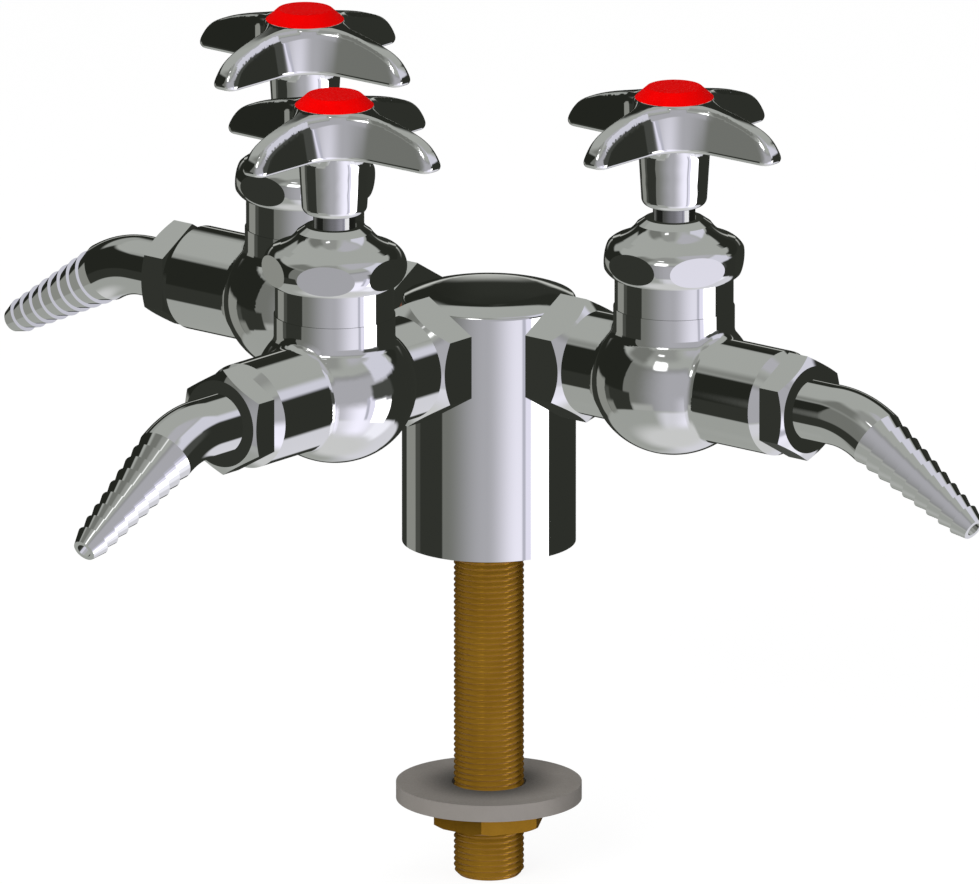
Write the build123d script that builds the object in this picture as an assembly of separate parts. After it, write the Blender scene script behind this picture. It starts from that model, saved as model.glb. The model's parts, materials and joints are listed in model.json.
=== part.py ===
from build123d import *

import math
import os

# Laboratory turret valve: three needle valves with bent serrated nozzles on one bench turret.
# Millimetres, +Z up, origin at the centre of the turret's underside, which stands on the bench.
# A valve is modelled once, pointing along +X, and then turned about the turret's axis.

# Valves: name, direction about the turret's axis, and how far its bonnet cap is screwed round
VALVES = (("right", 0.0, 0.0), ("left", 180.0, 0.0), ("front", -90.0, 10.0))

# Clearances
THREAD_GAP = 0.05      # radial, between pieces that are screwed or pressed together
RUN_GAP = 0.08         # radial, between a turning or sliding piece and its bore
SEAT_GAP = 0.30        # end gap that keeps a moving piece off a fixed one
CAP_GAP = 0.40         # radial, round the stem in the bonnet cap's mouth
SHANK_CLEARANCE = 0.50  # radial, round the shank in the turret's floor and in the deck washer
SEAL_THICKNESS = 0.8   # every flat gasket

# Turret: a sleeve that stands on the bench, and a head with the ports
TURRET_R = 20.75
BASE_HEIGHT = 40.3
BASE_WALL = 3.0
BASE_FLOOR = 5.0
HEAD_HEIGHT = 19.7     # seam to rim
HEAD_EDGE_R = 1.0
HEAD_SPIGOT = 10.0     # head's pilot inside the sleeve
DOME_SHOULDER_R = 12.7
DOME_SHOULDER_RISE = 1.9
DOME_FLANK_BULGE = 0.43
DOME_CROWN_RISE = 0.3
GALLERY_R = 6.0        # vertical passage that feeds the ports
PORT_RISE = 9.0        # ports' axis above the seam
BOSS_R = 8.8
BOSS_PROUD = 0.65      # port's flat face outside the turret's wall

# Shank, washer and locknut under the bench
SHANK_R = 8.4
SHANK_BORE_R = 5.6
SHANK_BELOW = 82.55    # length under the turret
SHANK_ABOVE_SEAM = 4.0
SHANK_CHAMFER = 1.2
BENCH_ROOM = 59.8      # between the turret's underside and the deck washer
WASHER_R = 22.2
WASHER_THICKNESS = 4.0
LOCKNUT_AF = 24.7
LOCKNUT_HEIGHT = 6.0
LOCKNUT_FACE_R = 13.05
LOCKNUT_TURN = -2.5
NUT_CHAMFER_ANGLE = 30.0

# Inlet hexagon and nipple
INLET_HEX_AF = 26.3
INLET_HEX_LENGTH = 10.0
NIPPLE_R = 6.5
NIPPLE_BORE_R = 4.2
NIPPLE_HALF_LENGTH = 8.0
RECESS_R = 5.9         # chambers behind the nipple and behind the nozzle's gasket
RECESS_LENGTH = 3.5

# Globe body
INLET_REACH = 34.95    # inlet face to stem
OUTLET_REACH = 35.35   # stem to outlet face
BARREL_R = 12.6
BALL_R = 19.4
BALL_HALF_HEIGHT = 17.7
NECK_R = 14.45
NECK_HEIGHT = 18.3     # above the ports' axis
WAIST_FILLET = 3.0     # ball to neck
BODY_FILLET = 2.5      # ball and neck to barrel
OUTLET_FACE_R = 11.1
OUTLET_CHAMFER = 2.3

# Seat and passages
DRILL_R = 2.9
INLET_DRILL_DROP = 4.3   # under the ports' axis
OUTLET_DRILL_RISE = 5.6  # over the ports' axis
CHAMBER_R = 8.0
CHAMBER_RISE = 2.5       # chamber's floor over the ports' axis
SEAT_R = 5.2
SEAT_HEIGHT = 3.0
ORIFICE_R = 3.4
CONE_ANGLE = 20.0        # half angle of the needle and of its seat
CONE_TIP_R = 1.0
CONE_TIP_BELOW = 1.3     # needle's tip below the seat ring's underside
CONE_HEAD_R = 4.2
CONE_HEAD_HEIGHT = 4.4
CONE_PIN_R = 1.9
CONE_PIN_LENGTH = 5.0

# Stem
STEM_R = 5.05
STEM_THREAD_R = 5.4
STEM_THREAD_LENGTH = 11.0
STEM_TRAVEL = 2.54       # two turns of the stem's 1.27 mm thread
STEM_SHOWN = 3.1         # between bonnet cap and handle
TANG_AF = 7.0

# Bonnet and packing
BONNET_R = 14.14
BONNET_HEIGHT = 7.6      # round collar between the body's neck and the cap
BONNET_SPIGOT_R = 10.4
BONNET_SPIGOT = 7.8
BONNET_CAVITY_R = 6.6
BONNET_THREAD_LENGTH = 10.2
PACKING_R = 8.0
PACKING_HEIGHT = 4.8
GLAND_HEIGHT = 4.0

# Bonnet cap, from its foot up
CAP_THREAD_R = 11.0
CAP_THREAD_LENGTH = 5.8
CAP_FOOT_R = 15.0
CAP_EDGE_R = 14.6
CAP_SIDE_HEIGHT = 8.75
CAP_SIDE_BULGE = 2.45
CAP_FLATS_AF = 31.6
CAP_SHOULDER_R = 12.8
CAP_SHOULDER_RISE = 0.65
CAP_CONE_R = 8.9
CAP_CONE_RISE = 3.3
CAP_CONE_HOLLOW = 0.37
CAP_MOUTH_R = 7.0
CAP_MOUTH_RISE = 1.3

# Handle
HUB_HEIGHT = 14.9
HUB_BOTTOM_R = 7.7
HUB_TOP_R = 8.7
HUB_EDGE_R = 1.9
HUB_SOCKET = 2.7         # round socket for the stem in the hub's end
HANDLE_THICKNESS = 11.5
HANDLE_R = 31.5
ARM_WIDTH = 7.6
ARM_ROOT_FILLET = 11.0
ARM_TOP_FILLET = 2.8
ARM_BOTTOM_FILLET = 1.35
HEAD_R = 9.8             # round land under the button
HEAD_FILLET = 1.1
# The crown over the arms: distance inside the tips, and drop below the top
CROWN_POINTS = ((7.5, 3.35), (2.7, 5.95), (0.5, 8.95))
CROWN_SLOPE = 12.0

# Handle screw and index button
SCREW_R = 2.05
SCREW_LENGTH = 13.0
SCREW_HEAD_R = 4.2
SCREW_HEAD_HEIGHT = 3.0
SCREW_DOME = 1.4
SCREW_SLOT_WIDTH = 1.1
SCREW_SLOT_DEPTH = 1.3
SCREW_SEAT_DEPTH = 7.45  # below the handle's top
SCREW_PULL = 0.4         # tang stops short of the screw's seat, so that the screw pulls the handle tight
BUTTON_SOCKET_R = 7.05
BUTTON_R = 9.35
BUTTON_TOP_R = 6.5
BUTTON_HEIGHT = 2.6
BUTTON_EDGE_R = 0.6
BUTTON_PLUG_WALL = 1.2
BUTTON_PLUG_LENGTH = 3.6

# Nozzle and its nut
NUT_AF = 22.2
NUT_LENGTH = 7.0
NUT_FACE_R = 10.5
NUT_THREAD_R = 8.8
NUT_THREAD_LENGTH = 8.5
TUBE_R = 7.2
TUBE_BORE_R = 3.6
COLLAR_R = 8.3
COLLAR_THICKNESS = 2.0
NOZZLE_STRAIGHT = 7.4    # from the nut's face to the bend
BEND_RADIUS = 23.0
BEND_ANGLE = 30.0
BARB_COUNT = 9
BARB_PITCH = 4.0
BARB_STEP = 0.45         # each crest is this much smaller than the one before
BARB_DEPTH = 0.55
TIP_R = 2.6
TIP_BORE_R = 1.6

# Heights that follow, from the bench up
ARM_Z = BASE_HEIGHT + PORT_RISE
RIM_Z = BASE_HEIGHT + HEAD_HEIGHT
SHANK_TOP_Z = BASE_HEIGHT + SHANK_ABOVE_SEAM
SEAT_TOP_Z = ARM_Z + CHAMBER_RISE
SEAT_BOTTOM_Z = SEAT_TOP_Z - SEAT_HEIGHT
CONE_HEAD_Z = SEAT_TOP_Z + 2 * SEAT_GAP
CONE_TOP_Z = CONE_HEAD_Z + CONE_HEAD_HEIGHT
NECK_TOP_Z = ARM_Z + NECK_HEIGHT
SPIGOT_BOTTOM_Z = NECK_TOP_Z - BONNET_SPIGOT
SEAL_SEAT_Z = SPIGOT_BOTTOM_Z - SEAL_THICKNESS
BONNET_TOP_Z = NECK_TOP_Z + BONNET_HEIGHT
PACKING_TOP_Z = BONNET_TOP_Z + PACKING_HEIGHT
GLAND_TOP_Z = PACKING_TOP_Z + GLAND_HEIGHT
CAP_SHOULDER_Z = BONNET_TOP_Z + CAP_SIDE_HEIGHT + CAP_SHOULDER_RISE
CAP_CONE_Z = CAP_SHOULDER_Z + CAP_CONE_RISE
CAP_TOP_Z = CAP_CONE_Z + CAP_MOUTH_RISE
HUB_BOTTOM_Z = CAP_TOP_Z + STEM_SHOWN
ARM_BOTTOM_Z = HUB_BOTTOM_Z + HUB_HEIGHT
HANDLE_TOP_Z = ARM_BOTTOM_Z + HANDLE_THICKNESS
STEM_SHOULDER_Z = HUB_BOTTOM_Z + HUB_SOCKET
SCREW_SEAT_Z = HANDLE_TOP_Z - SCREW_SEAT_DEPTH
TANG_TOP_Z = SCREW_SEAT_Z - SCREW_PULL

# Places that follow under the bench
WASHER_TOP_Z = -BENCH_ROOM
LOCKNUT_TOP_Z = WASHER_TOP_Z - WASHER_THICKNESS

# Places that follow along a valve, from the turret's axis out
BOSS_FACE_X = TURRET_R + BOSS_PROUD
HEX_FACE_X = BOSS_FACE_X + SEAL_THICKNESS
HEX_END_X = HEX_FACE_X + INLET_HEX_LENGTH
NIPPLE_END_X = HEX_FACE_X + NIPPLE_HALF_LENGTH
STEM_X = HEX_FACE_X + INLET_REACH
OUTLET_FACE_X = STEM_X + OUTLET_REACH
NUT_FACE_X = OUTLET_FACE_X + NUT_LENGTH
NUT_SPIGOT_X = OUTLET_FACE_X - NUT_THREAD_LENGTH
COLLAR_X = NUT_SPIGOT_X - COLLAR_THICKNESS
NOZZLE_SEAT_X = COLLAR_X - SEAL_THICKNESS
BEND_START_X = NUT_FACE_X + NOZZLE_STRAIGHT


def outline(*points):
    """Closed straight outline through (radius, height) points."""
    return Polyline(*points, close=True)


def turned(*edges):
    """Solid of revolution about Z; the edges close an outline of (radius, height)."""
    return revolve(Plane.XZ * make_face(Curve() + list(edges)), Axis.Z)


def crown_arc(edge_r, edge_z, rise):
    """Arc of a shallow dome from its edge up to the axis."""
    sphere_r = (edge_r ** 2 + rise ** 2) / (2 * rise)
    half_angle = math.asin(edge_r / sphere_r) / 2
    middle = (sphere_r * math.sin(half_angle), edge_z + rise - sphere_r * (1 - math.cos(half_angle)))
    return ThreePointArc((edge_r, edge_z), middle, (0, edge_z + rise))


def bowed(start, end, bow):
    """Arc from start to end that bows out of its chord, to the right on the way when bow is positive."""
    chord_r, chord_z = end[0] - start[0], end[1] - start[1]
    share = bow / math.hypot(chord_r, chord_z)
    middle = ((start[0] + end[0]) / 2 + chord_z * share, (start[1] + end[1]) / 2 - chord_r * share)
    return ThreePointArc(start, middle, end)


def ring(inner_r, outer_r, bottom, top):
    """Plain ring about Z."""
    return turned(outline((inner_r, bottom), (outer_r, bottom), (outer_r, top), (inner_r, top)))


def rod(radius, bottom, top):
    """Plain cylinder about Z."""
    return Pos(0, 0, bottom) * Cylinder(radius, top - bottom, align=(Align.CENTER, Align.CENTER, Align.MIN))


def hexagon(across_flats, bottom, top):
    """Hexagonal prism about Z with a corner on +X."""
    face = RegularPolygon(across_flats / 2, 6, major_radius=False)
    return Pos(0, 0, bottom) * extrude(face, top - bottom)


def nut_blank(across_flats, face_r, length):
    """Hexagonal nut from 0 up, with its corners chamfered to a circle at the top."""
    corner_r = across_flats / math.sqrt(3)
    drop = (corner_r - face_r) * math.tan(math.radians(NUT_CHAMFER_ANGLE))
    envelope = turned(outline(
        (0, 0), (corner_r, 0), (corner_r, length - drop), (face_r, length), (0, length)))
    return hexagon(across_flats, 0, length) & envelope


def circles(solid, radius):
    """Level rings of this radius among a turned solid's edges, from the lowest to the highest."""
    found = []
    for edge in solid.edges().sort_by(Axis.Z):
        size = edge.bounding_box().size
        if size.Z < THREAD_GAP and abs(size.X / 2 - radius) < THREAD_GAP:
            found.append(edge)
    return found


def along_arm(solid):
    """Turn a piece made about Z so that its Z is the arm's axis and its height is the arm's X."""
    return Pos(0, 0, ARM_Z) * Rot(0, 90, 0) * solid


def on_stem(solid):
    """Move a piece made about Z onto the stem's axis."""
    return Pos(STEM_X, 0, 0) * solid


def round_the_ports(solid):
    """One copy of an arm piece for each valve's direction."""
    return [Rot(0, 0, direction) * solid for _, direction, _ in VALVES]


# Turret

def turret_head():
    """Flush with the sleeve below; low dome above a rounded rim; three bossed ports."""
    shoulder = (DOME_SHOULDER_R, RIM_Z + DOME_SHOULDER_RISE)
    top = turned(
        Polyline((0, BASE_HEIGHT), (TURRET_R, BASE_HEIGHT), (TURRET_R, RIM_Z)),
        bowed((TURRET_R, RIM_Z), shoulder, DOME_FLANK_BULGE),
        crown_arc(*shoulder, DOME_CROWN_RISE),
        Line((0, shoulder[1] + DOME_CROWN_RISE), (0, BASE_HEIGHT)))
    top = fillet(circles(top, TURRET_R)[-1], HEAD_EDGE_R)
    head = top + rod(TURRET_R - BASE_WALL - THREAD_GAP, BASE_HEIGHT - HEAD_SPIGOT, BASE_HEIGHT)
    head += round_the_ports(along_arm(rod(BOSS_R, 0, BOSS_FACE_X)))
    head -= rod(SHANK_R + THREAD_GAP, BASE_HEIGHT - HEAD_SPIGOT, SHANK_TOP_Z)
    head -= rod(GALLERY_R, SHANK_TOP_Z, ARM_Z + GALLERY_R)
    head -= round_the_ports(along_arm(rod(NIPPLE_BORE_R, 0, BOSS_FACE_X)))
    port_depth = NIPPLE_HALF_LENGTH + THREAD_GAP
    return head - round_the_ports(along_arm(rod(NIPPLE_R + THREAD_GAP, BOSS_FACE_X - port_depth, BOSS_FACE_X)))


def turret_base():
    sleeve = rod(TURRET_R, 0, BASE_HEIGHT) - rod(TURRET_R - BASE_WALL, BASE_FLOOR, BASE_HEIGHT)
    return sleeve - rod(SHANK_R + SHANK_CLEARANCE, 0, BASE_FLOOR)


def shank():
    neck = SHANK_R - SHANK_CHAMFER
    return turned(outline(
        (SHANK_BORE_R, -SHANK_BELOW), (neck, -SHANK_BELOW), (SHANK_R, SHANK_CHAMFER - SHANK_BELOW),
        (SHANK_R, SHANK_TOP_Z - SHANK_CHAMFER), (neck, SHANK_TOP_Z), (SHANK_BORE_R, SHANK_TOP_Z)))


def deck_washer():
    return ring(SHANK_R + SHANK_CLEARANCE, WASHER_R, LOCKNUT_TOP_Z, WASHER_TOP_Z)


def locknut():
    blank = Rot(180, 0, LOCKNUT_TURN) * nut_blank(LOCKNUT_AF, LOCKNUT_FACE_R, LOCKNUT_HEIGHT)
    return Pos(0, 0, LOCKNUT_TOP_Z) * (blank - rod(SHANK_R + RUN_GAP, -LOCKNUT_HEIGHT, 0))


# Valve body

def globe():
    """Ball, barrel and neck with their rounded junctions, before the passages are cut."""
    ball = scale(Sphere(BALL_R), by=(1, 1, BALL_HALF_HEIGHT / BALL_R))
    necked = Pos(0, 0, ARM_Z) * ball + rod(NECK_R, ARM_Z, NECK_TOP_Z)
    waist = circles(necked, NECK_R)[0]
    necked = on_stem(Rot(0, 0, 90) * fillet(waist, WAIST_FILLET))
    barrel_start_x = HEX_FACE_X + INLET_HEX_LENGTH / 2
    barrel = turned(outline(
        (0, barrel_start_x), (BARREL_R, barrel_start_x), (BARREL_R, OUTLET_FACE_X - OUTLET_CHAMFER),
        (OUTLET_FACE_R, OUTLET_FACE_X), (0, OUTLET_FACE_X)))
    body = necked + along_arm(barrel)
    junctions = [
        edge for edge in body.edges()
        if edge.geom_type not in (GeomType.LINE, GeomType.CIRCLE)
        and BARREL_R < abs(edge.center().X - STEM_X) < BALL_R]
    return fillet(junctions, BODY_FILLET)


def inlet_hexagon():
    """Hexagon with a 45 degree cone from its corners down to the barrel."""
    corner_r = INLET_HEX_AF / math.sqrt(3)
    cone_start_x = HEX_END_X - (corner_r - INLET_HEX_AF / 2)
    cone_end_x = HEX_END_X + INLET_HEX_AF / 2 - BARREL_R
    envelope = turned(outline(
        (0, HEX_FACE_X), (corner_r, HEX_FACE_X), (corner_r, cone_start_x), (BARREL_R, cone_end_x),
        (0, cone_end_x)))
    return along_arm(hexagon(INLET_HEX_AF, HEX_FACE_X, cone_end_x) & envelope)


def valve_body():
    body = globe() + inlet_hexagon()
    body -= along_arm(rod(NIPPLE_R + THREAD_GAP, HEX_FACE_X, NIPPLE_END_X))
    body -= along_arm(rod(RECESS_R, NIPPLE_END_X, NIPPLE_END_X + RECESS_LENGTH))
    inlet_drill = rod(DRILL_R, NIPPLE_END_X + RECESS_LENGTH / 2, STEM_X)
    body -= Pos(0, 0, -INLET_DRILL_DROP) * along_arm(inlet_drill)
    body -= on_stem(rod(ORIFICE_R, ARM_Z - INLET_DRILL_DROP, SEAT_BOTTOM_Z))
    body -= on_stem(rod(SEAT_R + THREAD_GAP, SEAT_BOTTOM_Z, SEAT_TOP_Z))
    body -= on_stem(rod(CHAMBER_R, SEAT_TOP_Z, SEAL_SEAT_Z))
    body -= on_stem(rod(BONNET_SPIGOT_R + THREAD_GAP, SEAL_SEAT_Z, NECK_TOP_Z))
    outlet_drill = rod(DRILL_R, STEM_X, NOZZLE_SEAT_X - RECESS_LENGTH / 2)
    body -= Pos(0, 0, OUTLET_DRILL_RISE) * along_arm(outlet_drill)
    body -= along_arm(rod(RECESS_R, NOZZLE_SEAT_X - RECESS_LENGTH, NOZZLE_SEAT_X))
    return body - along_arm(rod(NUT_THREAD_R + THREAD_GAP, NOZZLE_SEAT_X, OUTLET_FACE_X))


def inlet_nipple():
    return along_arm(ring(NIPPLE_BORE_R, NIPPLE_R, BOSS_FACE_X - NIPPLE_HALF_LENGTH, NIPPLE_END_X))


def inlet_gasket():
    return along_arm(ring(NIPPLE_R + THREAD_GAP, BOSS_R, BOSS_FACE_X, HEX_FACE_X))


def needle_r(height):
    """Radius of the needle's cone at a height, valve closed."""
    return CONE_TIP_R + (height - SEAT_BOTTOM_Z + CONE_TIP_BELOW) * math.tan(math.radians(CONE_ANGLE))


def seat_bore_r(height):
    """Radius of the conical seat at a height, a thread gap outside the needle."""
    return needle_r(height) + THREAD_GAP / math.cos(math.radians(CONE_ANGLE))


def seat_ring():
    return on_stem(turned(outline(
        (seat_bore_r(SEAT_BOTTOM_Z), SEAT_BOTTOM_Z), (SEAT_R, SEAT_BOTTOM_Z), (SEAT_R, SEAT_TOP_Z),
        (seat_bore_r(SEAT_TOP_Z), SEAT_TOP_Z))))


def needle_cone():
    """Cone on a round head, with a pin up into the stem, so that it rises without turning."""
    tip_z = SEAT_BOTTOM_Z - CONE_TIP_BELOW
    pin_top_z = CONE_TOP_Z + CONE_PIN_LENGTH
    return on_stem(turned(outline(
        (0, tip_z), (CONE_TIP_R, tip_z), (needle_r(CONE_HEAD_Z), CONE_HEAD_Z), (CONE_HEAD_R, CONE_HEAD_Z),
        (CONE_HEAD_R, CONE_TOP_Z), (CONE_PIN_R, CONE_TOP_Z), (CONE_PIN_R, pin_top_z), (0, pin_top_z))))


# Stem, bonnet and packing

def stem():
    """Rod with a thread in the bonnet, a bore for the needle's pin and a square for the handle."""
    bottom = CONE_TOP_Z + THREAD_GAP
    thread_top = BONNET_TOP_Z - STEM_TRAVEL - SEAT_GAP
    thread_bottom = thread_top - STEM_THREAD_LENGTH
    body = turned(outline(
        (0, bottom), (STEM_R, bottom), (STEM_R, thread_bottom), (STEM_THREAD_R, thread_bottom),
        (STEM_THREAD_R, thread_top), (STEM_R, thread_top), (STEM_R, STEM_SHOULDER_Z), (0, STEM_SHOULDER_Z)))
    tang = Pos(0, 0, STEM_SHOULDER_Z) * extrude(Rectangle(TANG_AF, TANG_AF), TANG_TOP_Z - STEM_SHOULDER_Z)
    body += tang & rod(STEM_R, STEM_SHOULDER_Z, TANG_TOP_Z)
    body -= rod(CONE_PIN_R + RUN_GAP, bottom, CONE_TOP_Z + CONE_PIN_LENGTH + SEAT_GAP)
    return on_stem(body - rod(SCREW_R + THREAD_GAP, SCREW_SEAT_Z - SCREW_LENGTH - SEAT_GAP, TANG_TOP_Z))


def bonnet():
    """Collar on the neck, screwed in below and threaded above for the cap."""
    cap_thread_top = BONNET_TOP_Z + CAP_THREAD_LENGTH
    thread_z = BONNET_TOP_Z - BONNET_THREAD_LENGTH
    bore_r = STEM_THREAD_R + RUN_GAP
    return on_stem(turned(outline(
        (BONNET_CAVITY_R, SPIGOT_BOTTOM_Z), (BONNET_SPIGOT_R, SPIGOT_BOTTOM_Z), (BONNET_SPIGOT_R, NECK_TOP_Z),
        (BONNET_R, NECK_TOP_Z), (BONNET_R, BONNET_TOP_Z), (CAP_THREAD_R, BONNET_TOP_Z),
        (CAP_THREAD_R, cap_thread_top), (PACKING_R + THREAD_GAP, cap_thread_top),
        (PACKING_R + THREAD_GAP, BONNET_TOP_Z), (bore_r, BONNET_TOP_Z), (bore_r, thread_z),
        (BONNET_CAVITY_R, thread_z))))


def bonnet_gasket():
    return on_stem(ring(CHAMBER_R, BONNET_SPIGOT_R, SEAL_SEAT_Z, SPIGOT_BOTTOM_Z))


def packing():
    return on_stem(ring(STEM_R + RUN_GAP, PACKING_R, BONNET_TOP_Z, PACKING_TOP_Z))


def packing_gland():
    return on_stem(ring(STEM_R + RUN_GAP, PACKING_R, PACKING_TOP_Z, GLAND_TOP_Z))


def bonnet_cap(turn):
    """Wrench cap: bulged side with six flats, a sloping shoulder and a hollow cone up to the stem."""
    side_top_z = BONNET_TOP_Z + CAP_SIDE_HEIGHT
    body = turned(
        bowed((CAP_FOOT_R, BONNET_TOP_Z), (CAP_EDGE_R, side_top_z), CAP_SIDE_BULGE),
        Polyline((CAP_EDGE_R, side_top_z), (CAP_SHOULDER_R, CAP_SHOULDER_Z), (0, CAP_SHOULDER_Z),
                 (0, BONNET_TOP_Z), (CAP_FOOT_R, BONNET_TOP_Z)))
    body = body & Rot(0, 0, turn) * hexagon(CAP_FLATS_AF, BONNET_TOP_Z, CAP_SHOULDER_Z)
    cone = turned(
        bowed((CAP_SHOULDER_R, CAP_SHOULDER_Z), (CAP_CONE_R, CAP_CONE_Z), -CAP_CONE_HOLLOW),
        Polyline((CAP_CONE_R, CAP_CONE_Z), (CAP_MOUTH_R, CAP_TOP_Z), (0, CAP_TOP_Z), (0, CAP_SHOULDER_Z),
                 (CAP_SHOULDER_R, CAP_SHOULDER_Z)))
    cap = body + cone
    thread_top = BONNET_TOP_Z + CAP_THREAD_LENGTH + THREAD_GAP
    cap -= rod(CAP_THREAD_R + THREAD_GAP, BONNET_TOP_Z, thread_top)
    cap -= rod(PACKING_R + THREAD_GAP, thread_top, GLAND_TOP_Z)
    return on_stem(cap - rod(STEM_R + CAP_GAP, GLAND_TOP_Z, CAP_TOP_Z))


# Handle

def handle_plan(reach):
    """Cross from above, with one hollow arc from each arm to the next."""
    plan = Rectangle(2 * reach, ARM_WIDTH) + Rectangle(ARM_WIDTH, 2 * reach)
    inner_corners = plan.vertices().sort_by(lambda vertex: math.hypot(vertex.X, vertex.Y))[:4]
    return fillet(inner_corners, ARM_ROOT_FILLET)


def crown():
    """Turned blank of the handle's arms: sloping out and over the tips, and not yet flat in the middle."""
    slope = math.radians(CROWN_SLOPE)
    inner_r = BUTTON_R / 2
    peak_z = HANDLE_TOP_Z + (BUTTON_R - inner_r) * math.tan(slope)
    points = [(inner_r, peak_z)]
    points += [(HANDLE_R - inside, HANDLE_TOP_Z - drop) for inside, drop in CROWN_POINTS]
    points.append((HANDLE_R, ARM_BOTTOM_Z))
    return turned(
        Polyline((0, ARM_BOTTOM_Z), (0, peak_z), (inner_r, peak_z)),
        Spline(*points, tangents=((math.cos(slope), -math.sin(slope)), (0, -1))),
        Line((HANDLE_R, ARM_BOTTOM_Z), (0, ARM_BOTTOM_Z)))


def handle():
    """Four-armed cross handle: arms cut from one turned crown, on a tapered hub."""
    blank = extrude(handle_plan(HANDLE_R + ARM_WIDTH), HANDLE_THICKNESS + BUTTON_R)
    cross = Pos(0, 0, ARM_BOTTOM_Z) * blank & crown()
    crown_edges = [
        edge for edge in cross.edges()
        if edge.center().Z > ARM_BOTTOM_Z + ARM_BOTTOM_FILLET
        and edge.geom_type not in (GeomType.LINE, GeomType.CIRCLE)
        and abs(edge.center().Y) > ARM_WIDTH / 4]
    cross = fillet(crown_edges, ARM_TOP_FILLET)
    cross = fillet(cross.faces().sort_by(Axis.Z)[0].edges(), ARM_BOTTOM_FILLET)
    cross = cross & rod(HANDLE_R + ARM_WIDTH, ARM_BOTTOM_Z, HANDLE_TOP_Z)
    head = rod(HEAD_R, ARM_BOTTOM_Z + HANDLE_THICKNESS / 2, HANDLE_TOP_Z)
    head = fillet(circles(head, HEAD_R)[-1], HEAD_FILLET)
    hub_top_z = ARM_BOTTOM_Z + ARM_BOTTOM_FILLET
    hub = turned(outline(
        (0, HUB_BOTTOM_Z), (HUB_BOTTOM_R, HUB_BOTTOM_Z), (HUB_TOP_R, hub_top_z), (0, hub_top_z)))
    hub = fillet(circles(hub, HUB_BOTTOM_R)[0], HUB_EDGE_R)
    body = cross + head + hub
    body -= rod(STEM_R + THREAD_GAP, HUB_BOTTOM_Z, STEM_SHOULDER_Z)
    tang_hole = Rectangle(TANG_AF + 2 * THREAD_GAP, TANG_AF + 2 * THREAD_GAP)
    body -= Pos(0, 0, STEM_SHOULDER_Z) * extrude(tang_hole, SCREW_SEAT_Z - STEM_SHOULDER_Z)
    return on_stem(body - rod(BUTTON_SOCKET_R, SCREW_SEAT_Z, HANDLE_TOP_Z))


def handle_screw():
    """Domed slotted screw that draws the handle down on the stem."""
    head_top = SCREW_SEAT_Z + SCREW_HEAD_HEIGHT
    shaft = rod(SCREW_R, SCREW_SEAT_Z - SCREW_LENGTH, SCREW_SEAT_Z)
    head = turned(
        Polyline((0, SCREW_SEAT_Z), (SCREW_HEAD_R, SCREW_SEAT_Z), (SCREW_HEAD_R, head_top - SCREW_DOME)),
        crown_arc(SCREW_HEAD_R, head_top - SCREW_DOME, SCREW_DOME),
        Line((0, head_top), (0, SCREW_SEAT_Z)))
    slot = Box(2 * SCREW_HEAD_R, SCREW_SLOT_WIDTH, SCREW_SLOT_DEPTH)
    return on_stem(shaft + head - Pos(0, 0, head_top - SCREW_SLOT_DEPTH / 2) * slot)


def index_button():
    """Low cone with a softened top edge, plugged into the handle's socket."""
    top = HANDLE_TOP_Z + BUTTON_HEIGHT
    plug_r = BUTTON_SOCKET_R - THREAD_GAP
    disc = turned(outline((0, HANDLE_TOP_Z), (BUTTON_R, HANDLE_TOP_Z), (BUTTON_TOP_R, top), (0, top)))
    disc = fillet(circles(disc, BUTTON_TOP_R)[-1], BUTTON_EDGE_R)
    plug = ring(plug_r - BUTTON_PLUG_WALL, plug_r, HANDLE_TOP_Z - BUTTON_PLUG_LENGTH, HANDLE_TOP_Z)
    return on_stem(disc + plug)


# Nozzle

def nozzle_nut():
    """Hexagon nut on the outlet, with a threaded spigot that presses the nozzle's collar home."""
    nut = Pos(0, 0, OUTLET_FACE_X) * nut_blank(NUT_AF, NUT_FACE_R, NUT_LENGTH)
    nut += rod(NUT_THREAD_R, NUT_SPIGOT_X, OUTLET_FACE_X)
    return along_arm(nut - rod(TUBE_R + THREAD_GAP, NUT_SPIGOT_X, NUT_FACE_X))


def bent_rod(radius):
    """Straight run from the collar and the bend after it, at one radius."""
    section = Plane((BEND_START_X, 0, ARM_Z), z_dir=(1, 0, 0)) * Circle(radius)
    bend_axis = Axis((BEND_START_X, 0, ARM_Z - BEND_RADIUS), (0, 1, 0))
    return along_arm(rod(radius, COLLAR_X, BEND_START_X)) + revolve(section, bend_axis, BEND_ANGLE)


def at_nozzle_end(solid):
    """Put a piece made about Z on the end of the bend, pointing along the nozzle's slope."""
    bend = math.radians(BEND_ANGLE)
    end_x = BEND_START_X + BEND_RADIUS * math.sin(bend)
    end_z = ARM_Z - BEND_RADIUS * (1 - math.cos(bend))
    return Pos(end_x, 0, end_z) * Rot(0, 90 + BEND_ANGLE, 0) * solid


def serrations():
    """Hose tail: sharp rings, each with its edge towards the valve and tapering to the tip."""
    points = [(0, 0)]
    for index in range(BARB_COUNT):
        crest = TUBE_R - BARB_STEP * index
        following = TUBE_R - BARB_STEP * (index + 1)
        root = TIP_R if index == BARB_COUNT - 1 else following - BARB_DEPTH
        points.append((crest, BARB_PITCH * index))
        points.append((root, BARB_PITCH * (index + 1)))
    points.append((0, BARB_PITCH * BARB_COUNT))
    return turned(outline(*points))


def nozzle():
    """Bent tube with a collar inside the nut and a serrated tail, bored from end to end."""
    tail_length = BARB_COUNT * BARB_PITCH
    tail_bore = turned(outline((0, 0), (TUBE_BORE_R, 0), (TIP_BORE_R, tail_length), (0, tail_length)))
    outer = bent_rod(TUBE_R) + along_arm(rod(COLLAR_R, COLLAR_X, NUT_SPIGOT_X)) + at_nozzle_end(serrations())
    return outer - (bent_rod(TUBE_BORE_R) + at_nozzle_end(tail_bore))


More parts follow.
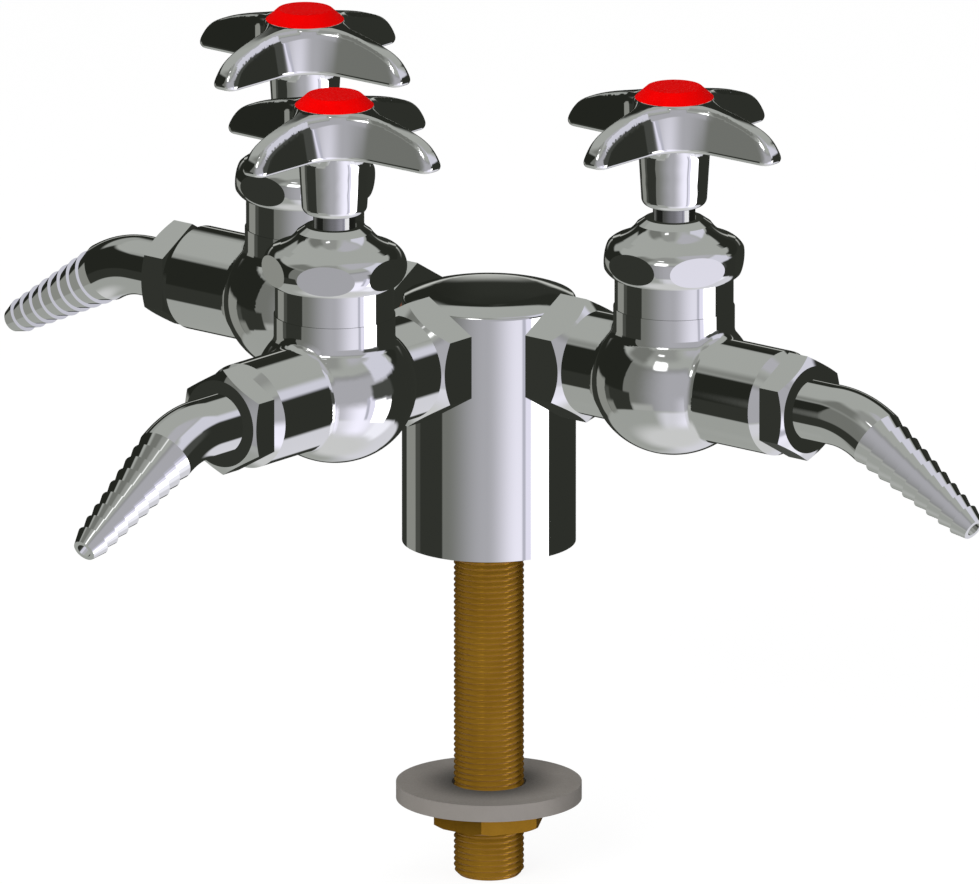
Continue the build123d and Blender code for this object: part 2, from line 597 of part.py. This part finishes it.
def nozzle_gasket():
    return along_arm(ring(RECESS_R, COLLAR_R, NOZZLE_SEAT_X, COLLAR_X))


# Write the parts

os.makedirs("parts", exist_ok=True)

for build_piece in (turret_head, turret_base, shank, deck_washer, locknut):
    export_step(build_piece(), "parts/" + build_piece.__name__ + ".step")

arm_pieces = {
    piece.__name__: piece() for piece in (
        valve_body, inlet_nipple, inlet_gasket, seat_ring, needle_cone, stem, bonnet, bonnet_gasket, packing,
        packing_gland, handle, handle_screw, index_button, nozzle_nut, nozzle, nozzle_gasket)}

for valve, direction, cap_turn in VALVES:
    pieces = dict(arm_pieces, bonnet_cap=bonnet_cap(cap_turn))
    for name, solid in pieces.items():
        export_step(Rot(0, 0, direction) * solid, "parts/" + valve + "_" + name + ".step")
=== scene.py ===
"""Laboratory turret valve: looks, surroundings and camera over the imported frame."""
import json
import math

import bmesh
import bpy
from mathutils import Matrix, Vector

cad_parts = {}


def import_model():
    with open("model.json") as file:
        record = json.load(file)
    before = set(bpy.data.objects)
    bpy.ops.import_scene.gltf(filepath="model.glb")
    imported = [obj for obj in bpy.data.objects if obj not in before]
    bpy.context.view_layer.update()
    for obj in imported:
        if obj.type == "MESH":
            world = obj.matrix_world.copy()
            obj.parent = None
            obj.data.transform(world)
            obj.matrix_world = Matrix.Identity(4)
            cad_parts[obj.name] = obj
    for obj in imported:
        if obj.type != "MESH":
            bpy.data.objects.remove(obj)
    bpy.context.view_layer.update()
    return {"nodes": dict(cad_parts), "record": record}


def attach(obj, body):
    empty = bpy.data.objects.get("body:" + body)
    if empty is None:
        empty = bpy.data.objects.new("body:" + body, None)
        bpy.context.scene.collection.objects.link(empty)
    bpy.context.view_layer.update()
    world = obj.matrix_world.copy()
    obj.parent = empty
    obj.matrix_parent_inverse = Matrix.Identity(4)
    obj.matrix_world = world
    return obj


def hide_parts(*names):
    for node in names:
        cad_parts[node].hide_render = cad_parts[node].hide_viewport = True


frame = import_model()
nodes = frame["nodes"]

# Lengths are in metres and angles in degrees

CAMERA_AZIMUTH = 39.81
CAMERA_ELEVATION = 15.19
AIM = Vector((0.00012, 0.00007, 0.02408))
FRAME_WIDTH = 0.2333    # across the picture at the turret's axis
LENS = 1500.0           # this and the next in millimetres
SENSOR = 36.0
CLIP_START = 0.1
CLIP_END = 60.0

WHITE = (1, 1, 1, 1)
SURROUND_R = 2.5
FLOOR_Z = -0.08255
FLOOR_HALF = 12.0
FLOOR_COLOUR = (0.86, 0.86, 0.86, 1)
FLOOR_GLOW = 1.08
FLOOR_GLOW_SHARE = 0.82     # how much of the white glow the camera sees over the shadow
WORLD_LIGHT = 0.5           # what the world gives to the object; the camera sees it at 1

# The valves

VALVES = {"right": 0.0, "left": 180.0, "front": -90.0}      # heading of each round the turret
STEM_REACH = 0.05715        # from the turret's axis to each stem's
CAP_TURN = -7.5             # the front cap's flats, as the photograph has them

# Shank

THREAD_PITCH = 0.0254 / 18
THREAD_CREST_R = 0.0084
THREAD_DEPTH = 0.00075
THREAD_TOP = 0.001
THREAD_RUN_OUT = 0.0005
SHANK_BOTTOM = -0.08255
SHANK_TOP = 0.0443
SHANK_BORE_R = 0.0056
SHANK_CHAMFER = 0.0012
SHANK_STEPS = 96            # round the shank
STEPS_PER_PITCH = 10

# Nozzle, along its own line: straight run, bend, then the serrated tail

NOZZLE_START = 0.082        # from the turret's axis
NOZZLE_Z = 0.0493
NOZZLE_STEPS = 72           # round the nozzle
COLLAR_R = 0.0083
COLLAR_LENGTH = 0.002
TUBE_R = 0.0072
BORE_R = 0.0036
STRAIGHT = 0.0249
BEND_R = 0.023
BEND = math.radians(30)
BEND_LENGTH = BEND_R * BEND
BEND_STEPS = 14
TAIL_START = STRAIGHT + BEND_LENGTH + 0.0011
BARBS = 9
BARB_PITCH = 0.0038
BARB_STEP = 0.000375        # each crest is this much smaller than the one before
BARB_DEPTH = 0.00095
BARB_TIP_R = 0.00285
TIP_BORE_R = 0.0018

# Handle

ARM_BOTTOM_Z = 0.1072
HEAD_R = 0.0099
DRAFT_RUN_IN = 0.003        # over which the draft begins beside the head
ARM_MIDDLE_R = 0.022        # where the arm keeps its width
ARM_DRAFT = math.radians(9)
ARM_TAPER = math.radians(2.5)
SAME_PLACE = 1e-6           # vertices nearer than this are one

# Angles above which an edge shows as sharp

EDGE_SHARP = 35
RING_SHARP = 12


# Colours

def linear(red, green, blue):
    """Linear colour of a display colour given in 0 to 255."""
    def channel(value):
        value = value / 255
        return value / 12.92 if value <= 0.04045 else ((value + 0.055) / 1.055) ** 2.4
    return (channel(red), channel(green), channel(blue), 1.0)


# Node helpers

def new_material(name):
    material = bpy.data.materials.new(name)
    material.use_nodes = True
    material.node_tree.nodes.clear()
    return material, material.node_tree


def add(tree, kind, **settings):
    node = tree.nodes.new(kind)
    for key, value in settings.items():
        setattr(node, key, value)
    return node


def feed(tree, socket, value):
    """Set a socket to a number or a colour, or link another node's output to it."""
    if isinstance(value, (int, float, tuple)):
        socket.default_value = value
    else:
        tree.links.new(value, socket)


def math_node(tree, operation, *values):
    node = add(tree, "ShaderNodeMath", operation=operation)
    for socket, value in zip(node.inputs, values):
        feed(tree, socket, value)
    return node.outputs[0]


def map_range(tree, value, low, high, out_low=0.0, out_high=1.0, smooth=True):
    node = add(tree, "ShaderNodeMapRange", interpolation_type="SMOOTHSTEP" if smooth else "LINEAR")
    tree.links.new(value, node.inputs["Value"])
    limits = {"From Min": low, "From Max": high, "To Min": out_low, "To Max": out_high}
    for name, number in limits.items():
        node.inputs[name].default_value = number
    return node.outputs["Result"]


def mix_colour(tree, factor, first, second):
    node = add(tree, "ShaderNodeMix", data_type="RGBA")
    for socket, value in ((0, factor), (6, first), (7, second)):    # factor, A and B of a colour mix
        feed(tree, node.inputs[socket], value)
    return node.outputs[2]


def noise(tree, coordinates, scale, detail, roughness=0.5):
    node = add(tree, "ShaderNodeTexNoise")
    node.inputs["Scale"].default_value = scale
    node.inputs["Detail"].default_value = detail
    node.inputs["Roughness"].default_value = roughness
    tree.links.new(coordinates, node.inputs["Vector"])
    return node.outputs["Fac"]


def bump(tree, height, strength, distance):
    node = add(tree, "ShaderNodeBump")
    node.inputs["Strength"].default_value = strength
    node.inputs["Distance"].default_value = distance
    tree.links.new(height, node.inputs["Height"])
    return node.outputs["Normal"]


def surface(tree, shader, kind="ShaderNodeOutputMaterial"):
    tree.links.new(shader, add(tree, kind).inputs["Surface"])


def principled(tree, **values):
    shader = add(tree, "ShaderNodeBsdfPrincipled")
    for name, value in values.items():
        feed(tree, shader.inputs[name.replace("_", " ")], value)
    surface(tree, shader.outputs["BSDF"])


def emission(tree, strength, colour=WHITE):
    shader = add(tree, "ShaderNodeEmission")
    shader.inputs["Strength"].default_value = strength
    feed(tree, shader.inputs["Color"], colour)
    return shader.outputs["Emission"]


def object_coordinates(tree):
    return add(tree, "ShaderNodeTexCoord").outputs["Object"]


def seen_rays(tree):
    """1 for what the camera sees, straight or through glass or in a reflection, and 0 for light."""
    rays = add(tree, "ShaderNodeLightPath")
    shown = math_node(tree, "MAXIMUM", rays.outputs["Is Camera Ray"], rays.outputs["Is Glossy Ray"])
    return math_node(tree, "MAXIMUM", shown, rays.outputs["Is Transmission Ray"])


# Materials of the object

def chrome():
    material, tree = new_material("chrome_plate")
    place = object_coordinates(tree)
    haze = noise(tree, place, scale=45.0, detail=4.0)
    fine = noise(tree, place, scale=900.0, detail=2.0)
    colour = mix_colour(tree, haze, (0.865, 0.865, 0.87, 1), (0.89, 0.89, 0.895, 1))
    rough = map_range(tree, haze, 0.3, 0.7, out_low=0.012, out_high=0.032)
    normal = bump(tree, fine, strength=0.02, distance=0.00002)
    principled(tree, Base_Color=colour, Metallic=1.0, Roughness=rough, Normal=normal)
    return material


def polished_steel():
    """Darker than chrome, with the fine rings that turning leaves."""
    material, tree = new_material("polished_steel")
    turned = add(tree, "ShaderNodeMapping")
    turned.inputs["Scale"].default_value = (1.0, 1.0, 60.0)
    tree.links.new(object_coordinates(tree), turned.inputs["Vector"])
    lines = noise(tree, turned.outputs["Vector"], scale=60.0, detail=3.0)
    colour = mix_colour(tree, lines, (0.31, 0.31, 0.32, 1), (0.39, 0.39, 0.40, 1))
    rough = map_range(tree, lines, 0.3, 0.7, out_low=0.05, out_high=0.11)
    normal = bump(tree, lines, strength=0.04, distance=0.00003)
    principled(tree, Base_Color=colour, Metallic=1.0, Roughness=rough, Normal=normal)
    return material


def brass():
    """Half dull, as cut brass is: part mirrors the studio and part is lit by the lamps."""
    material, tree = new_material("brass")
    place = object_coordinates(tree)
    stain = map_range(tree, noise(tree, place, scale=70.0, detail=5.0, roughness=0.6), 0.3, 0.7)
    fine = noise(tree, place, scale=1400.0, detail=2.0)
    colour = mix_colour(tree, stain, (0.31, 0.155, 0.014, 1), (0.375, 0.193, 0.019, 1))
    rough = map_range(tree, fine, 0.25, 0.75, out_low=0.20, out_high=0.25)
    normal = bump(tree, fine, strength=0.01, distance=0.00002)
    principled(tree, Base_Color=colour, Metallic=0.6, Roughness=rough, Normal=normal,
               Specular_IOR_Level=0.15, Specular_Tint=(0.8, 0.5, 0.15, 1))
    return material


def grey_washer():
    """Dull grey, with painted shade round the hole where the shank would keep the light off."""
    hole_r, shade_end_r = 0.008, 0.019
    material, tree = new_material("grey_steel")
    place = object_coordinates(tree)
    cloud = noise(tree, place, scale=120.0, detail=5.0, roughness=0.6)
    fine = noise(tree, place, scale=2400.0, detail=3.0)
    axes = add(tree, "ShaderNodeSeparateXYZ")
    tree.links.new(place, axes.inputs[0])
    squares = [math_node(tree, "POWER", axes.outputs[name], 2.0) for name in ("X", "Y")]
    radius = math_node(tree, "SQRT", math_node(tree, "ADD", *squares))
    colour = mix_colour(tree, cloud, linear(136, 131, 126), linear(148, 143, 138))
    # painted shade: the grey darkens from the hole outward, standing in for the shank's shadow on the
    # washer
    colour = mix_colour(tree, map_range(tree, radius, hole_r, shade_end_r), linear(88, 85, 82), colour)
    rough = map_range(tree, fine, 0.3, 0.7, out_low=0.42, out_high=0.55)
    normal = bump(tree, fine, strength=0.05, distance=0.00003)
    principled(tree, Base_Color=colour, Metallic=0.2, Roughness=rough, Normal=normal,
               Specular_IOR_Level=0.2)
    return material


def red_plastic():
    material, tree = new_material("red_plastic")
    place = object_coordinates(tree)
    grain = noise(tree, place, scale=1500.0, detail=2.0)
    cloud = noise(tree, place, scale=300.0, detail=2.0)
    colour = mix_colour(tree, cloud, (0.66, 0.0, 0.0, 1), (0.80, 0.0, 0.0, 1))
    rough = map_range(tree, grain, 0.3, 0.7, out_low=0.5, out_high=0.65)
    normal = bump(tree, grain, strength=0.4, distance=0.00012)
    principled(tree, Base_Color=colour, Roughness=rough, Specular_IOR_Level=0.015, Normal=normal)
    return material


def plain(name, light, dark, rough):
    material, tree = new_material(name)
    cloud = noise(tree, object_coordinates(tree), scale=400.0, detail=3.0)
    colour = mix_colour(tree, cloud, dark, light)
    normal = bump(tree, cloud, strength=0.2, distance=0.0001)
    principled(tree, Base_Color=colour, Roughness=rough, Normal=normal)
    return material


MATERIALS = {
    "chrome_plate": chrome(),
    "polished_steel": polished_steel(),
    "brass": brass(),
    "grey_steel": grey_washer(),
    "red_plastic": red_plastic(),
    "fibre": plain("fibre", (0.30, 0.11, 0.06, 1), (0.22, 0.07, 0.04, 1), 0.7),
    "packing": plain("packing", (0.80, 0.80, 0.77, 1), (0.68, 0.68, 0.64, 1), 0.6)}

for subpart in frame["record"]["subparts"]:
    node = nodes[subpart["node"]]
    node.data.materials.clear()
    node.data.materials.append(MATERIALS[subpart["material_slot"]])
    node.visible_glossy = False


# Pieces finer than the plain solids that they stand for

def put_in_scene(name, data):
    thing = bpy.data.objects.new(name, data)
    bpy.context.scene.collection.objects.link(thing)
    return thing


def stand_in(name, mesh, node, body):
    """Show a mesh in place of a node, on the same body; the mesh comes with the node's finish already
    given.
    """
    piece = put_in_scene(name, mesh)
    piece.visible_glossy = False
    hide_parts(node)
    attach(piece, body)
    return piece


def ring_faces(rings, around, flipped=False):
    """Faces from each ring of vertices to the next, and from the last ring back to the first."""
    faces = []
    for ring in range(rings):
        following = (ring + 1) % rings
        for step in range(around):
            beside = (step + 1) % around
            face = (ring * around + step, ring * around + beside,
                    following * around + beside, following * around + step)
            faces.append(face[:1] + face[:0:-1] if flipped else face)
    return faces


def smoothed(mesh, sharp_angle, finish="chrome_plate"):
    """Shade the mesh smoothly between its sharp edges and give it its material."""
    for polygon in mesh.polygons:
        polygon.use_smooth = True
    mesh.set_sharp_from_angle(angle=math.radians(sharp_angle))
    mesh.materials.append(MATERIALS[finish])
    return mesh


def shank_mesh():
    """Hollow rod with a right-hand helical thread, chamfered at its lower end."""
    threaded = THREAD_TOP - SHANK_BOTTOM
    rows = int(round(threaded / THREAD_PITCH * STEPS_PER_PITCH))
    root_r = THREAD_CREST_R - THREAD_DEPTH
    rings = []
    for row in range(rows + 1):
        z = SHANK_BOTTOM + threaded * row / rows
        chamfer_r = THREAD_CREST_R - SHANK_CHAMFER + (z - SHANK_BOTTOM)
        ring = []
        for step in range(SHANK_STEPS):
            phase = (z / THREAD_PITCH - step / SHANK_STEPS) % 1.0
            cut = 0.5 + 0.5 * math.cos(2 * math.pi * phase)
            ring.append((min(THREAD_CREST_R - THREAD_DEPTH * cut, chamfer_r), z))
        rings.append(ring)
    for radius, z in ((root_r, THREAD_TOP + THREAD_RUN_OUT), (root_r, SHANK_TOP),
                      (SHANK_BORE_R, SHANK_TOP), (SHANK_BORE_R, SHANK_BOTTOM)):
        rings.append([(radius, z)] * SHANK_STEPS)
    vertices = []
    for ring in rings:
        for step, (radius, z) in enumerate(ring):
            angle = 2 * math.pi * step / SHANK_STEPS
            vertices.append((radius * math.cos(angle), radius * math.sin(angle), z))
    mesh = bpy.data.meshes.new("shank_threaded")
    mesh.from_pydata(vertices, [], ring_faces(len(rings), SHANK_STEPS))
    return smoothed(mesh, EDGE_SHARP, "brass")


def nozzle_outline():
    """Distance along the nozzle and radius, round its outside and back through its bore."""
    bends = [STRAIGHT + BEND_LENGTH * step / BEND_STEPS for step in range(BEND_STEPS + 1)]
    points = [(0.0, COLLAR_R), (COLLAR_LENGTH, COLLAR_R), (COLLAR_LENGTH, TUBE_R)]
    points += [(along, TUBE_R) for along in bends]
    for index in range(BARBS):
        crest = TUBE_R - BARB_STEP * index
        last = index == BARBS - 1
        root = BARB_TIP_R if last else crest - BARB_STEP - BARB_DEPTH
        points.append((TAIL_START + BARB_PITCH * index, crest))
        points.append((TAIL_START + BARB_PITCH * (index + 1), root))
    points.append((points[-1][0], TIP_BORE_R))
    points += [(along, BORE_R) for along in reversed(bends)]
    points.append((0.0, BORE_R))
    return points


def nozzle_mesh(turn):
    """Nozzle turned to its valve's heading, bent down after its straight run."""
    spin = Matrix.Rotation(math.radians(turn), 4, "Z")
    vertices = []
    outline = nozzle_outline()
    for along, radius in outline:
        angle = min(max((along - STRAIGHT) / BEND_R, 0.0), BEND)
        before, after = min(along, STRAIGHT), max(along - STRAIGHT - BEND_LENGTH, 0.0)
        x = NOZZLE_START + before + BEND_R * math.sin(angle) + after * math.cos(angle)
        z = NOZZLE_Z - BEND_R * (1 - math.cos(angle)) - after * math.sin(angle)
        for step in range(NOZZLE_STEPS):
            side = 2 * math.pi * step / NOZZLE_STEPS
            out, up = radius * math.cos(side), radius * math.sin(side)
            vertices.append(spin @ Vector((x + up * math.sin(angle), -out, z + up * math.cos(angle))))
    mesh = bpy.data.meshes.new("nozzle")
    mesh.from_pydata(vertices, [], ring_faces(len(outline), NOZZLE_STEPS, flipped=True))
    return smoothed(mesh, RING_SHARP)


def drafted_handle(node, axis):
    """Handle whose arms narrow a little upward and outward, as a casting's do."""
    shape = bmesh.new()
    shape.from_mesh(node.data)
    bmesh.ops.remove_doubles(shape, verts=shape.verts, dist=SAME_PLACE)
    shape.normal_update()
    moves = []
    for vertex in shape.verts:
        spoke = Vector((vertex.co.x - axis[0], vertex.co.y - axis[1]))
        rise = vertex.co.z - ARM_BOTTOM_Z
        reach = spoke.length
        if rise <= 0 or reach < HEAD_R:
            continue
        spoke.normalize()
        facing = vertex.normal.xy
        sideways = facing - spoke * facing.dot(spoke)
        share = min((reach - HEAD_R) / DRAFT_RUN_IN, 1.0)
        inward = share * (rise * math.tan(ARM_DRAFT) + (reach - ARM_MIDDLE_R) * math.tan(ARM_TAPER))
        moves.append((vertex, sideways * inward))
    for vertex, move in moves:
        vertex.co.x -= move.x
        vertex.co.y -= move.y
    mesh = bpy.data.meshes.new(node.name + "_drafted")
    shape.to_mesh(mesh)
    shape.free()
    return smoothed(mesh, EDGE_SHARP)


def turned_cap(node, axis):
    """The cap with its six flats turned about the valve's axis to where the photograph has them."""
    mesh = node.data.copy()
    place = Matrix.Translation((axis[0], axis[1], 0))
    mesh.transform(place @ Matrix.Rotation(math.radians(CAP_TURN), 4, "Z") @ place.inverted())
    return mesh


stand_in("shank_threaded", shank_mesh(), "shank", "root")
for side, turn in VALVES.items():
    heading = math.radians(turn)
    axis = (STEM_REACH * math.cos(heading), STEM_REACH * math.sin(heading))
    stand_in(side + "_serrated_nozzle", nozzle_mesh(turn), side + "_nozzle", "root")
    handle = stand_in(side + "_cast_handle", drafted_handle(nodes[side + "_handle"], axis),
                      side + "_handle", side + "_spindle")
    smoothing = handle.modifiers.new("weighted_normals", "WEIGHTED_NORMAL")
    smoothing.keep_sharp = True
    smoothing.weight = 100
    if side == "front":
        stand_in("front_turned_cap", turned_cap(nodes["front_bonnet_cap"], axis),
                 "front_bonnet_cap", "root")


# Surroundings: what the polished metal mirrors, as in a studio with dark walls and soft white panels

PANELS = (
    # azimuths and elevations as seen from the object, with the camera at azimuth 0; then the colour,
    # brighter than white where it is over 255; then the soft edge across and upward
    ("ceiling, front", (-60, 12), (50, 82), (140, 142, 138), 12, 6),
    ("ceiling, right", (30, 110), (54, 84), (171, 171, 176), 12, 6),
    ("ceiling, left", (-95, -50), (38, 64), (112, 114, 109), 8, 6),
    ("front wall", (-78, 89), (-100, 37), (110, 112, 107), 2, 5),
    ("front wall, right half", (-32, 89), (-100, 35), (165, 165, 170), 28, 8),
    ("left wall", (-181, -75.5), (-10, 36.5), (34, 36, 31), 1, 2),
    ("left wall, foot", (-181, -64.5), (-33, -7), (47, 49, 44), 1.2, 2),
    ("ceiling behind the left wall", (-170, -132), (27, 40), (150, 153, 148), 4, 2),
    ("front wall, left foot", (-63, -30), (-34, -22), (160, 162, 158), 3, 4),
    ("floor", (-181, 181), (-100, -32), (153, 156, 151), 0, 1.5),
    ("floor, right half", (-22, 179), (-100, -34), (206, 206, 212), 12, 4),
    ("floor below the object", (-181, 181), (-100, -62), (198, 199, 198), 0, 12),
    ("panel low on the left wall", (-141, -114), (-33, -3), (134, 136, 130), 1.5, 2),
    ("panel's shaded side", (-114, -104), (-33, -8), (70, 72, 67), 2, 3),
    ("panel's foot", (-114, -99), (-34, -22), (124, 126, 120), 2, 3),
    ("bright foot of the front wall", (18, 62), (-60, -11), (243, 241, 255), 22, 9),
    ("window frame", (45, 50), (-34, 0), (178, 178, 190), 1.5, 3),
    ("window, side pane", (50, 58), (-34, 1), (224, 222, 238), 1.5, 3),
    ("floor by the window", (66, 108), (-60, -36), (238, 238, 246), 8, 5),
    ("right wall", (86, 181), (-35, 27), (44, 46, 41), 1.0, 2),
    ("right wall, back", (116, 181), (20, 36.5), (38, 40, 35), 3, 2),
    ("window", (58, 86), (-38, -9), (352, 352, 352), 1, 2),
    ("window, top pane", (58, 76), (-12, -5), (300, 300, 300), 1, 2),
    ("blind over the window", (54, 89), (-4, 18), (68, 70, 66), 3, 2.5),
    ("upper window", (62, 109), (21, 52), (203, 203, 214), 4, 3),
    ("light strip on the back wall", (158, 202), (8.5, 12.5), (190, 192, 186), 16, 2),
    ("lamp", (-33, -12), (36, 47), (400, 400, 400), 4, 3),
    ("small lamp", (-35, -21), (56.5, 59.5), (320, 320, 320), 3, 1.5))
CEILING = (160, 163, 158)
MIRROR_GAIN = 1.13      # what the plate swallows is given back by the panels
FULL_TURN = 360


def within(tree, value, middle, half, soft):
    """1 where the value lies within half of the middle, falling off softly."""
    off = math_node(tree, "ABSOLUTE", math_node(tree, "SUBTRACT", value, middle))
    return map_range(tree, off, half - soft, half + soft, 1.0, 0.0)


def around_the_room(tree, azimuth, middle):
    """Azimuth measured from the middle of a panel, from -180 to 180."""
    turned = math_node(tree, "SUBTRACT", azimuth, middle)
    return math_node(tree, "WRAP", turned, FULL_TURN / 2, -FULL_TURN / 2)


def surround_material():
    material, tree = new_material("studio_surround")
    direction = add(tree, "ShaderNodeVectorMath", operation="NORMALIZE")
    tree.links.new(object_coordinates(tree), direction.inputs[0])
    axes = add(tree, "ShaderNodeSeparateXYZ")
    tree.links.new(direction.outputs[0], axes.inputs[0])
    towards = math_node(tree, "MULTIPLY", axes.outputs["Y"], -1.0)
    degrees = 180 / math.pi
    azimuth = math_node(
        tree, "MULTIPLY", math_node(tree, "ARCTAN2", axes.outputs["X"], towards), degrees)
    elevation = math_node(tree, "MULTIPLY", math_node(tree, "ARCSINE", axes.outputs["Z"]), degrees)
    colour = linear(*CEILING)
    for _, (left, right), (low, high), tone, soft, soft_up in PANELS:
        factor = within(tree, elevation, (low + high) / 2, (high - low) / 2, soft_up)
        if right - left < FULL_TURN:
            turned = around_the_room(tree, azimuth, (left + right) / 2)
            across = within(tree, turned, 0.0, (right - left) / 2, soft)
            factor = math_node(tree, "MULTIPLY", factor, across)
        colour = mix_colour(tree, factor, colour, linear(*tone))
    surface(tree, emission(tree, MIRROR_GAIN, colour))
    return material


def surround():
    """Big sphere that only reflections see; its own -Y points at the camera's side."""
    around, rings = 64, 32
    vertices = [(0, 0, -SURROUND_R)]
    for ring in range(1, rings):
        tilt = math.pi * ring / rings - math.pi / 2
        for step in range(around):
            angle = 2 * math.pi * step / around
            vertices.append((SURROUND_R * math.cos(tilt) * math.cos(angle),
                             SURROUND_R * math.cos(tilt) * math.sin(angle), SURROUND_R * math.sin(tilt)))
    vertices.append((0, 0, SURROUND_R))
    top, last = len(vertices) - 1, 1 + (rings - 2) * around
    faces = []
    for step in range(around):
        beside = (step + 1) % around
        faces.append((0, 1 + beside, 1 + step))
        faces.append((top, last + step, last + beside))
        for ring in range(rings - 2):
            low, high = 1 + ring * around, 1 + (ring + 1) * around
            faces.append((low + step, low + beside, high + beside, high + step))
    mesh = bpy.data.meshes.new("studio_surround")
    mesh.from_pydata(vertices, [], faces)
    mesh.materials.append(surround_material())
    dome = put_in_scene("studio_surround", mesh)
    dome.rotation_euler = (0, 0, math.radians(CAMERA_AZIMUTH))
    dome.visible_camera = False
    dome.visible_diffuse = False
    dome.visible_transmission = False
    dome.visible_volume_scatter = False
    dome.visible_shadow = False


def floor():
    """White floor that keeps a faint shadow under the object."""
    corners = [(x * FLOOR_HALF, y * FLOOR_HALF, FLOOR_Z) for x, y in ((-1, -1), (1, -1), (1, 1), (-1, 1))]
    mesh = bpy.data.meshes.new("floor")
    mesh.from_pydata(corners, [], [(0, 1, 2, 3)])
    material, tree = new_material("floor")
    diffuse = add(tree, "ShaderNodeBsdfDiffuse")
    diffuse.inputs["Color"].default_value = FLOOR_COLOUR
    factor = math_node(tree, "MULTIPLY", seen_rays(tree), FLOOR_GLOW_SHARE)
    mixer = add(tree, "ShaderNodeMixShader")
    for socket, value in zip(mixer.inputs, (factor, diffuse.outputs[0], emission(tree, FLOOR_GLOW))):
        tree.links.new(value, socket)
    surface(tree, mixer.outputs[0])
    mesh.materials.append(material)
    plane = put_in_scene("floor", mesh)
    plane.visible_glossy = False


surround()
floor()


# World, lamps and camera

def world():
    """Pure white to the eye and half as strong as a light."""
    surroundings = bpy.data.worlds.new("studio")
    bpy.context.scene.world = surroundings
    surroundings.use_nodes = True
    tree = surroundings.node_tree
    tree.nodes.clear()
    background = add(tree, "ShaderNodeBackground")
    background.inputs["Color"].default_value = WHITE
    strength = map_range(tree, seen_rays(tree), 0.0, 1.0, WORLD_LIGHT, 1.0, smooth=False)
    tree.links.new(strength, background.inputs["Strength"])
    surface(tree, background.outputs[0], "ShaderNodeOutputWorld")


def direction_to(azimuth, elevation):
    """Unit vector from the object towards a place round it: azimuth 0 is the camera's."""
    turn, tilt = math.radians(CAMERA_AZIMUTH + azimuth), math.radians(elevation)
    return Vector((math.sin(turn) * math.cos(tilt), -math.cos(turn) * math.cos(tilt), math.sin(tilt)))


def lamp(name, azimuth, elevation, distance, size, power):
    """Soft square lamp that faces the object."""
    data = bpy.data.lights.new(name, "AREA")
    data.shape = "SQUARE"
    data.size = size
    data.energy = power
    light = put_in_scene(name, data)
    away = direction_to(azimuth, elevation)
    light.location = AIM + away * distance
    light.rotation_mode = "QUATERNION"
    light.rotation_quaternion = away.to_track_quat("Z", "Y")
    light.visible_glossy = False


def camera():
    """Long lens far away, because the photograph is a parallel view."""
    data = bpy.data.cameras.new("camera")
    data.type = "PERSP"
    data.sensor_width = SENSOR
    data.lens = LENS
    data.clip_start = CLIP_START
    data.clip_end = CLIP_END
    shot = put_in_scene("camera", data)
    bpy.context.scene.camera = shot
    back = direction_to(0, CAMERA_ELEVATION)
    distance = FRAME_WIDTH / 2 / (SENSOR / 2 / LENS)
    shot.location = AIM + back * distance
    shot.rotation_mode = "QUATERNION"
    shot.rotation_quaternion = (-back).to_track_quat("-Z", "Y")


world()
lamp("key", azimuth=-28, elevation=25, distance=1.3, size=0.7, power=11.5)
lamp("fill", azimuth=50, elevation=30, distance=1.5, size=1.0, power=3.5)
lamp("back", azimuth=160, elevation=60, distance=1.4, size=0.8, power=2.5)
camera()
bpy.context.scene.view_settings.view_transform = "Standard"
